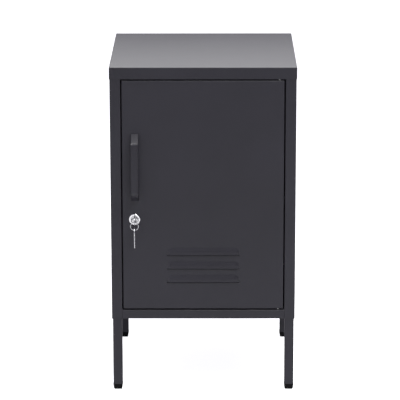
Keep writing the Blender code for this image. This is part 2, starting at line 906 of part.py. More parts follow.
def build_pivot_pin(name, z, up):
    """A headed pin through the door's end fold and into the bush."""
    head = -sheet - fit_gap
    profile = [
        (0, pin_reach),
        (pin_radius, pin_reach),
        (pin_radius, head),
        (pin_head_radius, head),
        (pin_head_radius, head - pin_head_height),
        (0, head - pin_head_height),
    ]
    facing = (0, 0, 0) if up else (math.pi, 0, 0)
    turned_piece(name, profile, door_pivot, "zinc_plate", (0, 0, z), facing, round_steps)


def build_buffers():
    """Two rubber pads on the stop lip, where the closed door comes to rest."""
    near = door_face + door_thickness + fit_gap
    far = body_front + stile_return - fit_gap
    x = -opening_half + stop_lip / 2
    for label, z in (
        ("upper", door_top - buffer_end_distance),
        ("lower", door_bottom + buffer_end_distance),
    ):
        profile = [
            (0, far - near),
            (buffer_radius - buffer_foot, far - near),
            (buffer_radius, 0),
            (0, 0),
        ]
        facing = (math.pi / 2, 0, 0)
        name = "door_buffer_" + label
        turned_piece(name, profile, frame, "black_plastic", (x, far, z), facing, small_round_steps)


# Handle


def handle_screw_levels():
    return (
        ("top", handle_top_foot_z - handle_screw_inset),
        ("bottom", handle_low_foot_z + handle_screw_inset),
    )


def near_points(points):
    return frozenset((round(x, match_digits), round(y, match_digits)) for x, y in points)


def weigh_front_edges(mesh, front):
    """Gives the bends their setback, the grip's front edges a crown and the others small rounds."""
    top, top_bend, low_bend, low = front
    radii = {near_points(pair): handle_arm_crown_radius for pair in ((top, top_bend), (low_bend, low))}
    radii[near_points((top_bend, low_bend))] = handle_crown_radius
    for bend in (top_bend, low_bend):
        radii[near_points((bend,))] = handle_bend_setback
    bm = bmesh.new()
    bm.from_mesh(mesh)
    weights = bm.edges.layers.float.new("bevel_weight_edge")
    for edge in bm.edges:
        if edge.calc_face_angle() > bend_angle:
            at = near_points([vert.co.xy for vert in edge.verts])
            edge[weights] = radii.get(at, handle_edge_radius) / handle_bend_setback
    bm.to_mesh(mesh)
    bm.free()


def build_handle():
    """An arched strap: sloping arms from two feet to a straight grip."""
    top = handle_top_foot_z
    low = handle_low_foot_z
    near = fit_gap
    far = handle_rise
    bar = handle_bar_thickness
    arm = handle_foot_length
    outer = [(top, near), (handle_top_bend_z, far), (handle_low_bend_z, far), (low, near)]
    inner = [
        (low + arm, near),
        (handle_low_bend_z + bar / 2, far - bar),
        (handle_top_bend_z - bar / 2, far - bar),
        (top - arm, near),
    ]
    mesh = outline_mesh("handle", [outer + inner], handle_width)
    weigh_front_edges(mesh, outer)
    turn_mesh(mesh, (0, 0, 1), (0, -1, 0), (1, 0, 0))
    place = (handle_x - pivot_x, door_face - pivot_y, 0)
    handle = place_piece("handle", mesh, door_pivot, "charcoal_handle", place)
    crown = handle.modifiers.new("crown", "BEVEL")
    crown.width = handle_bend_setback
    crown.segments = crown_steps
    crown.limit_method = "WEIGHT"
    depth = handle_screw_length - sheet + fit_gap
    radius = handle_screw_radius + fit_gap
    for label, z in handle_screw_levels():
        name = "handle_bore_" + label
        drill(handle, name, radius, -depth, cut_overrun, "Y", (0, z), door_pivot, small_round_steps, place)
        build_handle_screw("handle_screw_" + label, z)


def build_handle_screw(name, z):
    head = handle_screw_head_height
    profile = [
        (0, head),
        (handle_screw_head_radius * screw_crown_share, head),
        (handle_screw_head_radius, head * screw_rim_share),
        (handle_screw_head_radius, 0),
        (handle_screw_radius, 0),
        (handle_screw_radius, -handle_screw_length),
        (0, -handle_screw_length),
    ]
    place = (handle_x - pivot_x, door_inside + fit_gap - pivot_y, z)
    facing = (-math.pi / 2, 0, 0)
    turned_piece(name, profile, door_pivot, "zinc_plate", place, facing, small_round_steps)


# Cam lock


def build_lock_body():
    """The chromed barrel, with its bezel on the door's face and a stepped bore for the plug."""
    seat = fit_gap
    profile = [
        (plug_face_radius + fit_gap, bezel_rise),
        (bezel_radius - bezel_edge, bezel_rise),
        (bezel_radius, bezel_rise - bezel_edge),
        (bezel_radius, seat),
        (barrel_radius, seat),
        (barrel_radius, -barrel_reach),
        (plug_radius + fit_gap, -barrel_reach),
        (plug_radius + fit_gap, bezel_rise - plug_recess - plug_face_depth - fit_gap),
        (plug_face_radius + fit_gap, bezel_rise - plug_recess - plug_face_depth - fit_gap),
    ]
    place = (0, door_face - lock_y, 0)
    facing = (math.pi / 2, 0, 0)
    turned_piece(
        "lock_body", profile, lock_frame, "chrome_plate", place, facing, round_steps, closed=True
    )


def build_lock_nut():
    radius = nut_across_flats / math.sqrt(3)
    bm = bmesh.new()
    bmesh.ops.create_cone(
        bm, cap_ends=True, segments=6, radius1=radius, radius2=radius, depth=nut_height
    )
    turn_to_axis(bm, "Y")
    near = door_inside + fit_gap - lock_y
    bmesh.ops.translate(bm, vec=(0, near + nut_height / 2, 0), verts=bm.verts)
    nut = place_piece("lock_nut", mesh_from(bm, "lock_nut"), lock_frame, "zinc_plate")
    radius = barrel_radius + nut_clearance
    far = near + nut_height + cut_overrun
    drill(nut, "lock_nut_bore", radius, near - cut_overrun, far, "Y", (0, 0), lock_frame)


def build_lock_plug():
    """The turning plug: a round face, a barrel with the keyway, and a square tail for the cam."""
    tail_end = cam_front + cam_thickness - fit_gap
    face_back = plug_face_y + plug_face_depth
    tail_start = cam_front - fit_gap
    profile = [
        (0, -plug_face_y),
        (plug_face_radius, -plug_face_y),
        (plug_face_radius, -face_back),
        (plug_radius, -face_back),
        (plug_radius, -tail_start),
        (0, -tail_start),
    ]
    place = (0, -lock_y, 0)
    facing = (math.pi / 2, 0, 0)
    plug = turned_piece(
        "lock_plug", profile, lock_frame, "chrome_plate", place, facing, round_steps
    )
    half = tail_square / 2
    low = (-half, tail_start - plug_tail - lock_y, -half)
    high = (half, tail_end - lock_y, half)
    tail = make_tool("plug_tail", box_mesh("plug_tail", low, high), lock_frame)
    add_boolean(plug, tail, "UNION")
    slot_x = key_thickness / 2 + fit_gap
    slot_z = blade_width / 2 + fit_gap
    slot_low = (-slot_x, plug_face_y - cut_overrun - lock_y, -slot_z)
    slot_high = (slot_x, tail_start - plug_tail - fit_gap - lock_y, slot_z)
    cut_box(plug, "keyway", slot_low, slot_high, lock_frame)
    radius = cam_screw_radius + fit_gap
    near = tail_end - cam_screw_length - lock_y
    far = tail_end + cut_overrun - lock_y
    drill(plug, "plug_screw_bore", radius, near, far, "Y", (0, 0), lock_frame, small_round_steps)


def build_cam():
    """A flat arm that hangs down when the lock is open and turns behind the stop lip to lock."""
    half = cam_width / 2
    tip = cam_tip_width / 2
    taper = -cam_reach * cam_taper_share
    outline = arc((0, 0), half, 0, 180, half_turn_steps)
    outline += [(-half, taper), (-tip, -cam_reach), (tip, -cam_reach), (half, taper)]
    opening = tail_square / 2 + fit_gap
    hole = [(-opening, -opening), (opening, -opening), (opening, opening), (-opening, opening)]
    mesh = outline_mesh("lock_cam", [outline, hole], cam_thickness)
    turn_mesh(mesh, (1, 0, 0), (0, 0, 1), (0, -1, 0))
    place = (0, cam_front + cam_thickness / 2 - lock_y, 0)
    place_piece("lock_cam", mesh, lock_frame, "zinc_plate", place)


def build_cam_screw():
    head = cam_screw_head_height
    profile = [
        (0, head),
        (cam_screw_head_radius * screw_crown_share, head),
        (cam_screw_head_radius, head * screw_rim_share),
        (cam_screw_head_radius, 0),
        (cam_screw_radius, 0),
        (cam_screw_radius, fit_gap - cam_screw_length),
        (0, fit_gap - cam_screw_length),
    ]
    place = (0, cam_front + cam_thickness + fit_gap - lock_y, 0)
    facing = (-math.pi / 2, 0, 0)
    turned_piece(
        "cam_screw", profile, lock_frame, "zinc_plate", place, facing, small_round_steps
    )


# Keys


def key_outline():
    """A key along +Y with its shoulder at zero: a rounded bow above, the cut blade below."""
    centre = (0, neck_length + bow_length / 2)
    bow = []
    blade = blade_width / 2
    neck_angle = math.degrees(math.asin(blade / (bow_width / 2)))
    for i in range(bow_steps + 1):
        a = math.radians(-90 + neck_angle + (360 - 2 * neck_angle) * i / bow_steps)
        bow.append((bow_width / 2 * math.cos(a), centre[1] + bow_length / 2 * math.sin(a)))
    points = bow + [(-blade, 0), (-blade, blade_tip - blade_length), (0, -blade_length)]
    points.append((blade, blade_tip - blade_length))
    for i in range(bit_count):
        bottom = blade_tip + bit_pitch / 2 + i * bit_pitch - blade_length
        points.append((blade, bottom))
        points.append((blade - bit_depth, bottom + bit_pitch / 4))
        points.append((blade - bit_depth, bottom + bit_pitch / 2))
        points.append((blade, bottom + bit_pitch * 3 / 4))
    points.append((blade, 0))
    hole_y = hole_centre_from_shoulder
    return [points, circle((0, hole_y), bow_hole_radius, small_round_steps)]


def build_keys():
    """One key in the lock with its bow towards the front, the other hanging from the ring."""
    mesh = outline_mesh("key_in_lock", key_outline(), key_thickness)
    turn_mesh(mesh, (0, 0, 1), (0, -1, 0), (1, 0, 0))
    shoulder = plug_face_y - key_shoulder_gap - lock_y
    place_piece("key_in_lock", mesh, key_frame, "key_nickel", (0, shoulder, 0))
    mesh = outline_mesh("spare_key", key_outline(), key_thickness)
    turn_mesh(mesh, (0, 1, 0), (0, 0, 1), (1, 0, 0))
    drop = bow_hole_radius - ring_wire_radius - ring_rest_gap + hole_centre_from_shoulder
    place_piece("spare_key", mesh, spare_frame, "key_nickel", (0, 0, -drop))


def build_key_ring():
    bpy.ops.mesh.primitive_torus_add(
        major_radius=ring_radius,
        minor_radius=ring_wire_radius,
        major_segments=ring_steps,
        minor_segments=wire_steps,
    )
    made = bpy.context.object
    mesh = made.data
    bpy.data.objects.remove(made, do_unlink=True)
    mesh.name = "key_ring"
    turn_mesh(mesh, (1, 0, 0), (0, 0, 1), (0, -1, 0))
    shade_round(mesh)
    place_piece("key_ring", mesh, ring_frame, "key_nickel", (0, 0, -ring_radius))


clear_scene()
locker = new_collection("locker")
cutters = new_collection("cutters")
materials = {name: make_finish(name) for name in finishes}

frame = make_empty("locker_frame", None, (0, frame_y, 0))
door_pivot = make_empty("door_pivot", frame, (pivot_x, pivot_y, 0))
door_face_frame = make_empty("door_face", door_pivot, (-pivot_x, -pivot_setback, 0))
lock_y = door_face
lock_frame = make_empty("lock_axis", door_face_frame, (lock_x, 0, lock_z))
key_frame = make_empty("key_axis", lock_frame, (0, 0, 0))
ring_place = (0, bow_hole_y - lock_y, ring_top_z - lock_z)
ring_frame = make_empty("ring_axis", key_frame, ring_place)
spare_frame = make_empty("spare_axis", ring_frame, (0, 0, ring_bottom_z - ring_top_z))

build_side_panel("side_panel_left", -1)
build_side_panel("side_panel_right", 1)
build_lid()
build_back_panel()
build_floor_panel()
build_header()
build_shelf()
build_shelf_clips()
build_legs()
build_feet()
build_bush("pivot_bush_top", opening_top, True)
build_bush("pivot_bush_bottom", opening_bottom, False)
build_buffers()
build_door()
build_stiffener()
build_pivot_pin("pivot_pin_top", door_top, True)
build_pivot_pin("pivot_pin_bottom", door_bottom, False)
build_handle()
build_lock_body()
build_lock_nut()
build_lock_plug()
build_cam()
build_cam_screw()
build_keys()
build_key_ring()
bpy.context.view_layer.update()
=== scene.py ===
# %% [markdown]
# # A small steel locker, dressed for its picture
# The solids of the locker are made elsewhere and arrive here as a fixed frame: sheet panels, legs,
# a louvred door on two pivots, a pull handle and a cam lock with two keys. This lesson gives them
# their finishes, rounds off what the solids leave plain, and lights them like a catalogue picture.

import json
import math

import bmesh
import bpy
from mathutils import Matrix, Vector

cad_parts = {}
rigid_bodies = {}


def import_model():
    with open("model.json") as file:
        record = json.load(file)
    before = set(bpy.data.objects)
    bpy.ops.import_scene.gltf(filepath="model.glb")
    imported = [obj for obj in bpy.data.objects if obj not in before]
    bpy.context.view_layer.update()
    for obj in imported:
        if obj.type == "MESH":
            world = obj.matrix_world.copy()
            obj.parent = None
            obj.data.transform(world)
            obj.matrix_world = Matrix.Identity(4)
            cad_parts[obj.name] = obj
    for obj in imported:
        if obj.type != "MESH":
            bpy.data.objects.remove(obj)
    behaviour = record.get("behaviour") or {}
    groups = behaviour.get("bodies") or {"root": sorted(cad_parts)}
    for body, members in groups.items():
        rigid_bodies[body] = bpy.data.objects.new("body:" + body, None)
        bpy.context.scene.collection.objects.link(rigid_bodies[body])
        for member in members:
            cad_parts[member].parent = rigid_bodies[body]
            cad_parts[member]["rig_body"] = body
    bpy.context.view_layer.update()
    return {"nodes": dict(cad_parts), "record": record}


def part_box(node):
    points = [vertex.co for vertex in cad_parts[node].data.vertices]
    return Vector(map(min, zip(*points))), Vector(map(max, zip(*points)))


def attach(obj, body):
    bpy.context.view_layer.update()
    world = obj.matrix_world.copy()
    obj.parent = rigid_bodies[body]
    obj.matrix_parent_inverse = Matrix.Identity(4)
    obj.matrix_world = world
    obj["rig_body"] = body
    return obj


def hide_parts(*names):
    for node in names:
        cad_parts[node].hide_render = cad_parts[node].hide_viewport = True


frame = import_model()
nodes = frame["nodes"]
slot_of = {part["node"]: part["material_slot"] for part in frame["record"]["subparts"]}
millimetre = 0.001

# %% [markdown]
# ## Camera
# The picture was taken from a little above, five metres away, with a long lens: the lid's top shows
# as a narrow strip, and the legs at the back show between the legs in front. A camera could be
# aimed by eye. Here its place and turn come from matching the corners of the lid, the body and the
# feet to the picture. The camera has no shift, so that the locker stays in view from other sides.

# %% Place the camera
camera_place = Vector((0.0212, -5.0995, 1.7024))
camera_pitch_degrees = 14.512
camera_turn_degrees = 0.326
camera_roll_degrees = -0.098
lens_millimetres = 212.55
sensor_millimetres = 36.0
sight_reach = 100.0


def add_camera():
    data = bpy.data.cameras.new("picture_camera")
    data.lens = lens_millimetres
    data.sensor_width = sensor_millimetres
    data.clip_end = sight_reach
    camera = bpy.data.objects.new("picture_camera", data)
    bpy.context.scene.collection.objects.link(camera)
    turn = Matrix.Rotation(math.radians(camera_turn_degrees), 4, "Z")
    tilt = Matrix.Rotation(math.radians(90 - camera_pitch_degrees), 4, "X")
    roll = Matrix.Rotation(math.radians(camera_roll_degrees), 4, "Z")
    camera.matrix_world = Matrix.Translation(camera_place) @ turn @ tilt @ roll
    bpy.context.scene.camera = camera
    return camera


print("camera:", add_camera().matrix_world.translation)

# %% [markdown]
# ## Shader maths
# A finish is a web of nodes, and most of them only add, scale or compare numbers. Wiring those by
# hand is slow to read. A small class wraps one output of a node, so that a sum written in Python
# adds the Math nodes by itself. Every other node comes from one method of the board they are on.
# A Mix node has a set of sockets for each kind of value, under the same names, so the sockets of
# its colours are named here by their numbers.


# %% A wrapped output and the board it is on
noise_middle = 0.5
plain_detail = 2.0
fine_detail = 3.0
coarse_detail = 1.0
mix_share, mix_first, mix_second, mix_colour = 0, 6, 7, 2


class Flow:
    """One output of a node, which can be used in sums."""

    def __init__(self, board, socket):
        self.board = board
        self.socket = socket

    def maths(self, operation, *values):
        return self.board.node("ShaderNodeMath", {"operation": operation}, dict(enumerate(values)))

    def __add__(self, other):
        return self.maths("ADD", self, other)

    def __radd__(self, other):
        return self.maths("ADD", other, self)

    def __sub__(self, other):
        return self.maths("SUBTRACT", self, other)

    def __rsub__(self, other):
        return self.maths("SUBTRACT", other, self)

    def __mul__(self, other):
        return self.maths("MULTIPLY", self, other)

    def __rmul__(self, other):
        return self.maths("MULTIPLY", other, self)


class Board:
    """A node tree, with one method that adds any node to it."""

    def __init__(self, tree):
        self.tree = tree

    def node(self, kind, settings=None, values=None, output=0):
        """A node with its settings, then the values or links of its sockets."""
        made = self.tree.nodes.new(kind)
        for name, value in (settings or {}).items():
            setattr(made, name, value)
        for name, value in (values or {}).items():
            self.feed(made.inputs[name], value)
        return Flow(self, made.outputs[output])

    def feed(self, socket, value):
        if isinstance(value, Flow):
            self.tree.links.new(value.socket, socket)
        else:
            socket.default_value = value

    def noise(self, place, scale, detail=plain_detail):
        values = {"Vector": place, "Scale": scale, "Detail": detail}
        return self.node("ShaderNodeTexNoise", {"noise_dimensions": "3D"}, values)

    def blend(self, share, first, second):
        """A colour between two, in the share given."""
        values = {mix_share: share, mix_first: first, mix_second: second}
        return self.node("ShaderNodeMix", {"data_type": "RGBA"}, values, output=mix_colour)

    def ramp(self, value, low, high):
        """A smooth climb from 0 to 1 as the value goes from low to high."""
        values = {"Value": value, "From Min": low, "From Max": high}
        return self.node("ShaderNodeMapRange", {"interpolation_type": "SMOOTHSTEP"}, values)


print("shader maths ready")

# %% [markdown]
# ## A finish
# Every surface here is one Principled shader, with nodes that vary its colour, roughness and relief.
# Each could be wired alone, but all of them share a few moves: a place in metres for the patterns
# to follow, levels set by name, and relief given as a real depth. A class on top of the board holds
# those, and a seed shifts the place, so that no two finishes show the same pattern.


# %% Hold the shader and its place
class Finish(Board):
    """A material with one Principled shader and the nodes that feed it."""

    def __init__(self, name, seed=0.0):
        self.material = bpy.data.materials.new(name)
        self.material.use_nodes = True
        super().__init__(self.material.node_tree)
        self.shader = self.tree.nodes["Principled BSDF"]
        at = self.node("ShaderNodeTexCoord", output="Object")
        self.place = self.shifted(at, (seed, seed, seed))

    def shifted(self, place, by):
        return self.node("ShaderNodeVectorMath", {"operation": "ADD"}, {0: place, 1: by})

    def stretched(self, place, by):
        return self.node("ShaderNodeVectorMath", {"operation": "MULTIPLY"}, {0: place, 1: by})

    def set(self, **levels):
        for name, value in levels.items():
            self.feed(self.shader.inputs[name.replace("_", " ")], value)

    def relief(self, height, depth):
        """Dents and bumps as deep as the depth given, in metres."""
        values = {"Strength": 1.0, "Distance": depth, "Height": height}
        self.set(Normal=self.node("ShaderNodeBump", None, values))


def between(value, spread):
    """The part of a noise that lies above or below its middle, times a spread."""
    return (value - noise_middle) * spread


print("finish class ready")

# %% [markdown]
# ## Powder coat
# The body and the door are charcoal powder coat: powder melted onto steel. It is satin, and close
# up it has the shallow waves called orange peel and a fine grain. A flat colour would look like
# plastic film. Three layers of noise at real sizes give the slow change of tone, the peel and the
# grain, and the same layers vary the roughness, so that the light breaks up the way it does on coat.

# %% Make the painted finishes
paint_dark = (0.0112, 0.0105, 0.0146, 1.0)
paint_light = (0.0162, 0.0152, 0.0212, 1.0)
paint_ior = 1.42
cloud_scale = 7.0
peel_scale = 260.0
grain_scale = 1300.0
cloud_tone_spread = 0.9
grain_tone_spread = 0.8
cloud_gloss_spread = 0.06
grain_gloss_spread = 0.08
peel_share = 0.75
coats = {
    "body_paint": {
        "name": "charcoal_body_coat",
        "seed": 1.3,
        "roughness": 0.42,
        "relief_depth": 0.045 * millimetre,
    },
    "door_paint": {
        "name": "charcoal_door_coat",
        "seed": 4.1,
        "roughness": 0.42,
        "relief_depth": 0.045 * millimetre,
    },
    "handle_paint": {
        "name": "charcoal_handle_coat",
        "seed": 7.7,
        "roughness": 0.34,
        "relief_depth": 0.020 * millimetre,
    },
}


def powder_coat(name, seed, roughness, relief_depth):
    coat = Finish(name, seed)
    cloud = coat.noise(coat.place, cloud_scale)
    peel = coat.noise(coat.place, peel_scale, coarse_detail)
    grain = coat.noise(coat.place, grain_scale, coarse_detail)
    tone = between(cloud, cloud_tone_spread) + between(grain, grain_tone_spread) + noise_middle
    coat.set(Base_Color=coat.blend(coat.ramp(tone, 0.0, 1.0), paint_dark, paint_light))
    gloss = between(cloud, cloud_gloss_spread) + between(grain, grain_gloss_spread)
    coat.set(Roughness=gloss + roughness, IOR=paint_ior)
    coat.relief(peel * peel_share + grain * (1 - peel_share), relief_depth)
    return coat.material


finishes = {slot: powder_coat(**coat) for slot, coat in coats.items()}
print("painted finishes:", sorted(finishes))

# %% [markdown]
# ## Plastic, rubber and nylon
# The feet are moulded black plugs, the door's pads are rubber and the pivot bushes are nylon.
# Moulded surfaces copy the fine sparked grain of their mould. A cell pattern gives that grain, and a
# slow noise keeps the black from being one flat tone.

# %% Make the moulded finishes
spark_scale = 1700.0
mould_cloud_scale = 40.0
mould_gloss_spread = 0.15
patch_low, patch_high = 0.3, 0.7
moulds = {
    "black_plastic": {
        "name": "moulded_black",
        "seed": 2.2,
        "dark": (0.0035, 0.0035, 0.0038, 1.0),
        "light": (0.0075, 0.0075, 0.0080, 1.0),
        "roughness": 0.48,
        "specular": 0.06,
        "relief_depth": 0.03 * millimetre,
    },
    "black_rubber": {
        "name": "matte_rubber",
        "seed": 5.0,
        "dark": (0.008, 0.008, 0.008, 1.0),
        "light": (0.014, 0.014, 0.013, 1.0),
        "roughness": 0.75,
        "specular": 0.5,
        "relief_depth": 0.05 * millimetre,
    },
    "nylon": {
        "name": "black_nylon",
        "seed": 3.1,
        "dark": (0.016, 0.016, 0.017, 1.0),
        "light": (0.030, 0.030, 0.032, 1.0),
        "roughness": 0.42,
        "specular": 0.5,
        "relief_depth": 0.01 * millimetre,
    },
}


def moulded(name, seed, dark, light, roughness, specular, relief_depth):
    skin = Finish(name, seed)
    cloud = skin.noise(skin.place, mould_cloud_scale, fine_detail)
    spark = skin.node("ShaderNodeTexVoronoi", None, {"Vector": skin.place, "Scale": spark_scale})
    skin.set(Base_Color=skin.blend(skin.ramp(cloud, patch_low, patch_high), dark, light))
    skin.set(Roughness=between(cloud, mould_gloss_spread) + roughness)
    skin.set(Specular_IOR_Level=specular)
    skin.relief(spark, relief_depth)
    return skin.material


finishes.update({slot: moulded(**mould) for slot, mould in moulds.items()})
print("moulded finishes:", sorted(moulds))

# %% [markdown]
# ## Plated metals
# The lock is chromed, the keys are nickel and the hidden fixings are zinc. All three are metals, so
# their colour is in the reflection. Chrome on a turned part keeps the fine rings of the lathe, a key
# has rubbed scratches along it, and zinc has cloudy patches. Each gets its own mark. Inside the
# bezel's bore the chrome is duller, and it is mottled with painted shade: near-black patches in its
# colour that stand for the shade and dark reflections on the plug.

# %% Make the plated finishes
lock_low, lock_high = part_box("lock_body")
lock_centre = (lock_low + lock_high) / 2
lathe_rings_scale = 2600.0
face_bore = 8.3 * millimetre
plug_edge = 8.0 * millimetre
smudge_and_shade_scale = 260.0
chrome_bright = (0.87, 0.87, 0.87, 1.0)
chrome_dull = (0.55, 0.55, 0.55, 1.0)
# Near-black chrome, painted onto the plug's face as shade and dark reflection.
plug_painted_shade = (0.09, 0.09, 0.10, 1.0)
painted_shade_low, painted_shade_high = 0.44, 0.60
chrome_roughness = 0.16
smudge_gloss_spread = 0.10
ring_gloss_spread = 0.06
lathe_ring_depth = 0.004 * millimetre


def turned_chrome():
    chrome = Finish("turned_chrome")
    flat = chrome.stretched(chrome.place, (1.0, 0.0, 1.0))
    centre = (lock_centre.x, 0.0, lock_centre.z)
    apart = {"operation": "DISTANCE"}
    radius = chrome.node("ShaderNodeVectorMath", apart, {0: flat, 1: centre}, output="Value")
    line = {"noise_dimensions": "1D"}
    rings = chrome.node("ShaderNodeTexNoise", line, {"W": radius, "Scale": lathe_rings_scale})
    # Painted shade: this noise mottles the plug's colour with near-black patches that stand for
    # shade and dark reflections, and it also varies the gloss.
    smudge_and_painted_shade = chrome.noise(chrome.place, smudge_and_shade_scale, fine_detail)
    painted_shade_share = chrome.ramp(smudge_and_painted_shade, painted_shade_low, painted_shade_high)
    plug = chrome.blend(painted_shade_share, chrome_dull, plug_painted_shade)
    rim = chrome.ramp(radius, plug_edge, face_bore)
    chrome.set(Base_Color=chrome.blend(rim, plug, chrome_bright))
    gloss = between(smudge_and_painted_shade, smudge_gloss_spread) + between(rings, ring_gloss_spread)
    chrome.set(Metallic=1.0, Roughness=gloss + chrome_roughness)
    chrome.relief(rings, lathe_ring_depth)
    return chrome.material


nickel_seed = 6.4
nickel_clean = (0.48, 0.48, 0.49, 1.0)
nickel_tarnish = (0.31, 0.31, 0.315, 1.0)
rub_stretch = (9.0, 1.0, 1.0)
rub_scale = 420.0
rub_gloss_spread = 0.20
rub_depth = 0.010 * millimetre
nickel_roughness = 0.28
tarnish_scale = 170.0
tarnish_low, tarnish_high = 0.35, 0.75


def rubbed_nickel():
    nickel = Finish("rubbed_nickel", nickel_seed)
    rubs = nickel.noise(nickel.stretched(nickel.place, rub_stretch), rub_scale, fine_detail)
    worn = nickel.ramp(nickel.noise(nickel.place, tarnish_scale), tarnish_low, tarnish_high)
    nickel.set(Base_Color=nickel.blend(worn, nickel_clean, nickel_tarnish))
    nickel.set(Metallic=1.0, Roughness=between(rubs, rub_gloss_spread) + nickel_roughness)
    nickel.relief(rubs, rub_depth)
    return nickel.material


zinc_seed = 8.8
zinc_cool = (0.66, 0.68, 0.70, 1.0)
zinc_warm = (0.74, 0.72, 0.65, 1.0)
zinc_patch_scale = 420.0
zinc_cloud_scale = 300.0
zinc_gloss_spread = 0.2
zinc_patch_share = 0.15
zinc_roughness = 0.32
zinc_depth = 0.010 * millimetre


def cloudy_zinc():
    zinc = Finish("cloudy_zinc", zinc_seed)
    cells = {"Vector": zinc.place, "Scale": zinc_patch_scale}
    patches = zinc.node("ShaderNodeTexVoronoi", None, cells)
    cloud = zinc.noise(zinc.place, zinc_cloud_scale, fine_detail)
    tone = zinc.ramp(cloud, patch_low, patch_high)
    zinc.set(Base_Color=zinc.blend(tone, zinc_cool, zinc_warm))
    gloss = between(cloud, zinc_gloss_spread) + patches * zinc_patch_share
    zinc.set(Metallic=1.0, Roughness=gloss + zinc_roughness)
    zinc.relief(cloud, zinc_depth)
    return zinc.material


finishes["lock_chrome"] = turned_chrome()
finishes["key_nickel"] = rubbed_nickel()
finishes["zinc"] = cloudy_zinc()
print("all finishes:", sorted(finishes))

# %% [markdown]
# ## Smooth bends
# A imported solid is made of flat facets, so a bend in the sheet or the rim of a screw shows them.
# The shape is right and only its shading is not. A copy of the mesh stands for it: the facets that
# lie flat together are joined, edges that turn less than a bend are shaded smooth, and the normals
# are weighted by area so that the big faces stay flat.

# %% Copy a node with smooth shading
weld_distance = 0.002 * millimetre
flat_angle = math.radians(0.4)
sharp_angle = math.radians(50)
face_area_weight = 100


def new_piece(name, mesh, body, slot):
    """A visible piece that rides on a body and takes one of the finishes."""
    piece = bpy.data.objects.new(name, mesh)
    bpy.context.scene.collection.objects.link(piece)
    mesh.materials.clear()
    mesh.materials.append(finishes[slot])
    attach(piece, body)
    return piece


def shade_bends(piece):
    piece.data.shade_smooth()
    piece.data.set_sharp_from_angle(angle=sharp_angle)
    even = piece.modifiers.new("even_normals", "WEIGHTED_NORMAL")
    even.weight = face_area_weight
    even.keep_sharp = True


def joined_facets(node):
    """The node's mesh without the cuts between facets that lie flat together."""
    bm = bmesh.new()
    bm.from_mesh(nodes[node].data)
    bmesh.ops.remove_doubles(bm, verts=bm.verts, dist=weld_distance)
    bmesh.ops.dissolve_limit(bm, angle_limit=flat_angle, verts=bm.verts, edges=bm.edges)
    mesh = bpy.data.meshes.new(node + "_smooth")
    bm.to_mesh(mesh)
    bm.free()
    if "custom_normal" in mesh.attributes:
        mesh.attributes.remove(mesh.attributes["custom_normal"])
    return mesh


def smooth_copy(node, name):
    piece = new_piece(name, joined_facets(node), nodes[node]["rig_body"], slot_of[node])
    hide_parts(node)
    shade_bends(piece)
    return piece


print("smooth copies ready")

# %% [markdown]
# ## Panels, legs and door
# These are folded from thin sheet or cut from square tube. Their bends are what catches the light
# along the lid's front edge and beside the door's gaps, so they are all shaded smooth. The flat
# pieces with no bend stay as they were packed and only take their finish.

# %% Dress the sheet metal
bent_pieces = ["side_panel_left", "side_panel_right", "lid", "floor_panel", "header_rail", "shelf"]
bent_pieces += ["door_panel", "door_stiffener", "handle"]
bent_pieces += [name for name in sorted(nodes) if name.startswith(("leg_front", "leg_rear"))]
for name in bent_pieces:
    smooth_copy(name, name + "_painted")

flat_pieces = ["back_panel"] + [name for name in sorted(nodes) if name.startswith("shelf_clip")]
for name in flat_pieces:
    nodes[name].material_slots[0].material = finishes[slot_of[name]]
print("painted:", len(bent_pieces), "kept flat:", len(flat_pieces))

# %% [markdown]
# ## Feet, pivots and fixings
# Small turned and moulded pieces have a slight round on every edge, which is what makes them read
# as metal or plastic rather than paper. A narrow bevel on a smooth copy adds it.

# %% Dress the small fittings
small_round = 0.25 * millimetre


def soften(piece, width):
    round_off = piece.modifiers.new("edge_round", "BEVEL")
    round_off.width = width
    round_off.segments = 2
    round_off.limit_method = "ANGLE"
    round_off.angle_limit = sharp_angle
    round_off.harden_normals = True
    even = piece.modifiers["even_normals"]
    piece.modifiers.move(piece.modifiers.find(even.name), len(piece.modifiers) - 1)


starts = ("foot_", "leg_bolt", "pivot_", "door_buffer", "handle_screw")
starts += ("lock_nut", "lock_cam", "lock_plug", "cam_screw")
fittings = [name for name in sorted(nodes) if name.startswith(starts)]
for name in fittings:
    soften(smooth_copy(name, name + "_finished"), small_round)
print("fittings:", fittings)

# %% [markdown]
# ## Lock bezel and barrel
# The lock is turned from one bar: a domed bezel that sits on the door, a threaded barrel behind it
# and a stepped bore for the plug. It could be a smooth copy of the solid, but the dome and the
# thread would be missing, so it is turned again from a finer profile within the same sizes.

# %% Turn the lock
bezel_depth = 2.7 * millimetre
bezel_dome = 1.1 * millimetre
bezel_inner_round = 0.35 * millimetre
plug_bore = 6.3 * millimetre
face_bore_depth = 3.7 * millimetre
barrel_radius = 9.0 * millimetre
thread_depth = 0.35 * millimetre
thread_pitch = 1.0 * millimetre
turning_steps = 96
dome_steps = 6
quarter_turn = 90


def quarter_round(centre, radius, start):
    """Points along a quarter of a circle, from a start angle in degrees."""
    points = []
    for step in range(dome_steps + 1):
        angle = math.radians(start + quarter_turn * step / dome_steps)
        points.append((centre[0] + radius * math.cos(angle), centre[1] + radius * math.sin(angle)))
    return points


def lock_profile():
    """Radius and depth behind the bezel's front, round the whole section."""
    outer = (lock_high.x - lock_low.x) / 2
    back = lock_high.y - lock_low.y
    inner_edge = face_bore + bezel_inner_round
    points = quarter_round((inner_edge, bezel_inner_round), bezel_inner_round, 2 * quarter_turn)
    points += quarter_round((outer - bezel_dome, bezel_dome), bezel_dome, 3 * quarter_turn)
    points += [(outer, bezel_depth), (barrel_radius, bezel_depth)]
    depth = bezel_depth + thread_pitch
    while depth < back - thread_pitch:
        points.append((barrel_radius, depth))
        points.append((barrel_radius - thread_depth, depth + thread_pitch / 2))
        depth += thread_pitch
    points += [(barrel_radius, depth), (barrel_radius - thread_depth, back), (plug_bore, back)]
    points += [(plug_bore, face_bore_depth), (face_bore, face_bore_depth)]
    return points


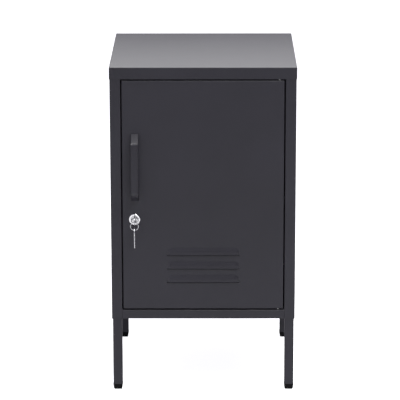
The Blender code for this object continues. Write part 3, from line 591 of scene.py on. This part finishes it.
def join_rows(bm, rows):
    """Faces from each closed row of points to the next one."""
    for row, other in zip(rows, rows[1:]):
        for index in range(len(row)):
            after = (index + 1) % len(row)
            bm.faces.new((row[index], row[after], other[after], other[index]))


def finished_mesh(bm, name):
    """The shape as a mesh, with its faces pointing out."""
    bmesh.ops.recalc_face_normals(bm, faces=bm.faces)
    mesh = bpy.data.meshes.new(name)
    bm.to_mesh(mesh)
    bm.free()
    return mesh


def turned(name, profile, centre, front):
    """A ring turned about a line along Y, closed all round."""
    bm = bmesh.new()
    rows = []
    for step in range(turning_steps):
        angle = 2 * math.pi * step / turning_steps
        across, up = math.cos(angle), math.sin(angle)
        row = [(centre.x + r * across, front + d, centre.z + r * up) for r, d in profile]
        rows.append([bm.verts.new(point) for point in row])
    join_rows(bm, rows + rows[:1])
    return finished_mesh(bm, name)


lock_mesh = turned("lock_body_turned", lock_profile(), lock_centre, lock_low.y)
lock_turned = new_piece("lock_body_turned", lock_mesh, "door", slot_of["lock_body"])
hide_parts("lock_body")
shade_bends(lock_turned)
print("lock: points in the profile:", len(lock_profile()))

# %% [markdown]
# ## Coat in the seams
# The rail under the door ends against the two stiles, with a hair of a seam between them. The coat
# runs into such a seam and bridges it, so that no daylight comes through. The solids keep their
# seam open, and filling it flush would hide the joint. A half-round bead of coat behind each seam
# closes it, and the line still shows.

# %% Close the rail's seams
bead_radius = 0.6 * millimetre
bead_setback = 0.75 * millimetre
bead_steps = 8
rail_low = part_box("floor_panel")[0]
rail_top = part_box("door_panel")[0].z
seam_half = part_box("header_rail")[1].x
seam_y = rail_low.y + bead_setback


def seam_bead(name, x, y, low, high):
    """A half-round bead that stands behind a seam."""
    bm = bmesh.new()
    rows = []
    for z in (low, high):
        angles = [math.pi * step / bead_steps for step in range(bead_steps + 1)]
        places = [(x + bead_radius * math.cos(a), y + bead_radius * math.sin(a), z) for a in angles]
        rows.append([bm.verts.new(place) for place in places])
    join_rows(bm, rows)
    for end_row in rows:
        bm.faces.new(end_row)
    return finished_mesh(bm, name)


for side, word in ((-1, "left"), (1, "right")):
    mesh = seam_bead("seam_coat_" + word, side * seam_half, seam_y, rail_low.z, rail_top)
    shade_bends(new_piece("seam_coat_" + word, mesh, "cabinet", "body_paint"))
print("seams closed at x:", round(seam_half / millimetre, 2), "mm to each side")

# %% [markdown]
# ## Keys
# A flat key is stamped from sheet: the bow has a sunk panel on each side, the blade has a milled
# groove, and every edge is tumbled round. The sunk panels and grooves are cut from a copy of the
# packed key with a Boolean, which keeps its outline and its teeth just as they are.

# %% Cut the keys
bow_length = 21.5 * millimetre
panel_share = 0.70
panel_depth = 0.3 * millimetre
groove_length = 15.0 * millimetre
groove_width = 1.5 * millimetre
groove_depth = 0.5 * millimetre
groove_from_tip = 2.5 * millimetre
key_round = 0.2 * millimetre
panel_steps = 48
unit_radius = 0.5


def cut(piece, tool_bm):
    """Takes a tool shape out of a piece for good, and clears the tool away."""
    tool = bpy.data.objects.new("tool", finished_mesh(tool_bm, "tool"))
    bpy.context.scene.collection.objects.link(tool)
    step = piece.modifiers.new("cut", "BOOLEAN")
    step.operation = "DIFFERENCE"
    step.solver = "EXACT"
    step.object = tool
    bpy.context.view_layer.update()
    seen = piece.evaluated_get(bpy.context.evaluated_depsgraph_get())
    piece.data = bpy.data.meshes.new_from_object(seen)
    piece.modifiers.remove(step)
    bpy.data.objects.remove(tool, do_unlink=True)


def panel_tool(centre, length, width, along, x):
    """A flat oval disc that stands for a sunk panel on one side of the bow."""
    bm = bmesh.new()
    disc = {"radius1": unit_radius, "radius2": unit_radius, "depth": 2 * panel_depth}
    bmesh.ops.create_cone(bm, cap_ends=True, segments=panel_steps, **disc)
    bmesh.ops.rotate(bm, verts=bm.verts, matrix=Matrix.Rotation(math.pi / 2, 3, "Y"))
    size = (1.0, length, width) if along.y else (1.0, width, length)
    bmesh.ops.scale(bm, verts=bm.verts, vec=size)
    bmesh.ops.translate(bm, verts=bm.verts, vec=(x, centre.y, centre.z))
    return bm


def groove_tool(centre, along, x):
    bm = bmesh.new()
    bmesh.ops.create_cube(bm, size=1.0)
    size = Vector((2 * groove_depth, groove_width, groove_width))
    size[1 if along.y else 2] = groove_length
    bmesh.ops.scale(bm, verts=bm.verts, vec=size)
    bmesh.ops.translate(bm, verts=bm.verts, vec=(x, centre.y, centre.z))
    return bm


def dress_key(node, along):
    """Cuts a key whose bow lies towards the direction given."""
    low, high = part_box(node)
    middle = (low + high) / 2
    body = nodes[node]["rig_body"]
    piece = new_piece(node + "_cut", joined_facets(node), body, slot_of[node])
    # The key is flat across X, so its length and its width share out Y and Z.
    length_axis = 1 if along.y else 2
    half_length = (high[length_axis] - low[length_axis]) / 2
    width = high[3 - length_axis] - low[3 - length_axis]
    bow = middle + along * (half_length - bow_length / 2)
    blade = middle - along * (half_length - groove_from_tip - groove_length / 2)
    for x in (low.x, high.x):
        cut(piece, panel_tool(bow, bow_length * panel_share, width * panel_share, along, x))
        cut(piece, groove_tool(blade, along, x))
    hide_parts(node)
    shade_bends(piece)
    soften(piece, key_round)
    return piece


for name, along in (("key_in_lock", Vector((0, -1, 0))), ("spare_key", Vector((0, 0, 1)))):
    made = dress_key(name, along)
    print(made.name, "faces:", len(made.data.polygons))

# %% [markdown]
# ## Split ring
# The ring that joins the keys is a flat wire wound almost twice round, so that a key can be worked
# onto it. A torus would look like a curtain ring. The wire follows a formula: two turns side by
# side, with a short slope where it crosses over from one to the other.

# %% Wind the split ring
ring_low, ring_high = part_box("key_ring")
ring_centre = (ring_low + ring_high) / 2
ring_outer = (ring_high.x - ring_low.x) / 2
ring_depth = ring_high.y - ring_low.y
wire_wide = 1.35 * millimetre
wire_gap = 0.04 * millimetre
wire_steps = 150
ring_seam_degrees = 215.0
cross_degrees = 34.0
whole_turn = 360
corner_share = 0.55


def wire_section():
    """An eight-sided flat section: outward and sideways, about its own middle."""
    half_wide = wire_wide / 2
    half_thick = (ring_depth - wire_gap) / 4
    wide = half_wide * corner_share
    thick = half_thick * corner_share
    corners = [(half_wide, thick), (wide, half_thick), (-wide, half_thick), (-half_wide, thick)]
    return corners + [(-a, -b) for a, b in corners]


def wind_ring():
    """The wire's skin, from one cut end to the other."""
    section = wire_section()
    lift = (ring_depth + wire_gap) / 4
    middle_radius = ring_outer - wire_wide / 2
    start, end = cross_degrees, 2 * whole_turn - cross_degrees
    bm = bmesh.new()
    rows = []
    for step in range(wire_steps + 1):
        angle = start + (end - start) * step / wire_steps
        # Where one turn ends, a smooth step carries the wire over to the other side.
        past = angle - whole_turn + cross_degrees
        climb = min(max(past / (2 * cross_degrees), 0), 1)
        side = lift * (2 * climb * climb * (3 - 2 * climb) - 1)
        turn = math.radians(angle + ring_seam_degrees)
        outward = Vector((math.cos(turn), 0, math.sin(turn)))
        row = [
            ring_centre + outward * (middle_radius + a) + Vector((0, side + b, 0))
            for a, b in section
        ]
        rows.append([bm.verts.new(point) for point in row])
    join_rows(bm, rows)
    for end_row in (rows[0], rows[-1]):
        bm.faces.new(end_row)
    return finished_mesh(bm, "key_ring_wound")


ring = new_piece("key_ring_wound", wind_ring(), "ring", slot_of["key_ring"])
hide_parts("key_ring")
shade_bends(ring)
print("split ring: outer radius", round(ring_outer / millimetre, 2), "mm")

# %% [markdown]
# ## Floor
# The picture has no room, only white. A floor lit past white would do, but it would throw so much
# light up that the legs at the back and the feet turn grey. Here the floor is pale paper with a
# glow that only the camera sees: the locker is lit by the paper alone, shadow and all, while the
# picture shows the paper white.

# %% Lay the floor
floor_size = 60.0
floor_white = (0.80, 0.80, 0.81, 1.0)
unlit = (0.0, 0.0, 0.0, 1.0)
floor_glow = 1.03
floor_roughness = 0.9


def add_floor():
    bm = bmesh.new()
    bmesh.ops.create_grid(bm, x_segments=1, y_segments=1, size=floor_size / 2)
    mesh = bpy.data.meshes.new("studio_floor")
    bm.to_mesh(mesh)
    bm.free()
    floor = bpy.data.objects.new("studio_floor", mesh)
    bpy.context.scene.collection.objects.link(floor)
    paper = Finish("pale_paper")
    paper.set(Base_Color=floor_white, Roughness=floor_roughness)
    seen = paper.node("ShaderNodeLightPath", output="Is Camera Ray")
    paper.set(Emission_Color=paper.blend(seen, unlit, floor_white), Emission_Strength=floor_glow)
    mesh.materials.append(paper.material)


add_floor()
print("floor:", floor_size, "m")

# %% [markdown]
# ## Studio light
# Satin paint shows what is round it. The lid looks past the locker at whatever hangs behind it, and
# the door looks forward and down at the floor. One even sky would make the two alike, but the
# picture has a light lid over a dark door. So the sky is soft and dim. In front it fades from a
# bright left to a black right, and behind it is even. Large lamps do the rest: one overhead, one in
# front that lights the floor which the door shows, one low behind that brightens the lid towards
# its front edge, and one far to the left.

# %% Set up the sky
sky_back = 0.42
sky_front = 0.50
sky_side = 0.50
sky_tint = (1.0, 0.985, 1.10, 1.0)
sky_turn = 0.6


def add_sky():
    world = bpy.data.worlds.new("soft_studio")
    bpy.context.scene.world = world
    world.use_nodes = True
    board = Board(world.node_tree)
    way = board.node("ShaderNodeTexCoord", output="Generated")
    across = board.node("ShaderNodeSeparateXYZ", None, {"Vector": way}, output="X")
    away = board.node("ShaderNodeSeparateXYZ", None, {"Vector": way}, output="Y")
    behind = board.ramp(away, -sky_turn, sky_turn)
    seen = board.node("ShaderNodeLightPath", output="Is Camera Ray")
    front = sky_front - across * sky_side
    level = front + behind * (sky_back - front)
    # The camera sees plain white where the sky itself is dimmer.
    backdrop = world.node_tree.nodes["Background"]
    board.feed(backdrop.inputs["Strength"], seen.maths("MAXIMUM", seen, level))
    board.feed(backdrop.inputs["Color"], sky_tint)


add_sky()
print("sky: front", sky_front, "back", sky_back)

# %% Hang the lamps
lamps = {
    "overhead": {"place": (0.25, -0.5, 3.0), "aim": (0, -0.2, 0.4), "size": (1.6, 1.2), "glow": 5.0},
    "front": {"place": (0.7, -1.5, 2.8), "aim": (0, -0.6, 0.2), "size": (1.2, 1.0), "glow": 18.0},
    "behind": {"place": (0.2, 0.65, 1.36), "aim": (0.2, 0, 1.29), "size": (2.6, 0.8), "glow": 2.8},
    "left": {"place": (-3.2, -1.2, 1.3), "aim": (0, 0, 0.4), "size": (1.6, 2.2), "glow": 1.0},
}


def add_lamp(name, place, aim, size, glow):
    """A flat lamp of a given brightness per area, whatever its size."""
    light = bpy.data.lights.new(name, "AREA")
    light.shape = "RECTANGLE"
    light.size, light.size_y = size
    light.energy = glow * math.pi * size[0] * size[1]
    lamp = bpy.data.objects.new(name + "_lamp", light)
    bpy.context.scene.collection.objects.link(lamp)
    lamp.location = place
    towards = Vector(aim) - Vector(place)
    lamp.rotation_euler = towards.to_track_quat("-Z", "Y").to_euler()
    lamp.visible_camera = False


for name, lamp in lamps.items():
    add_lamp(name, **lamp)
bpy.context.scene.view_settings.view_transform = "Standard"
print("lamps:", sorted(lamps))
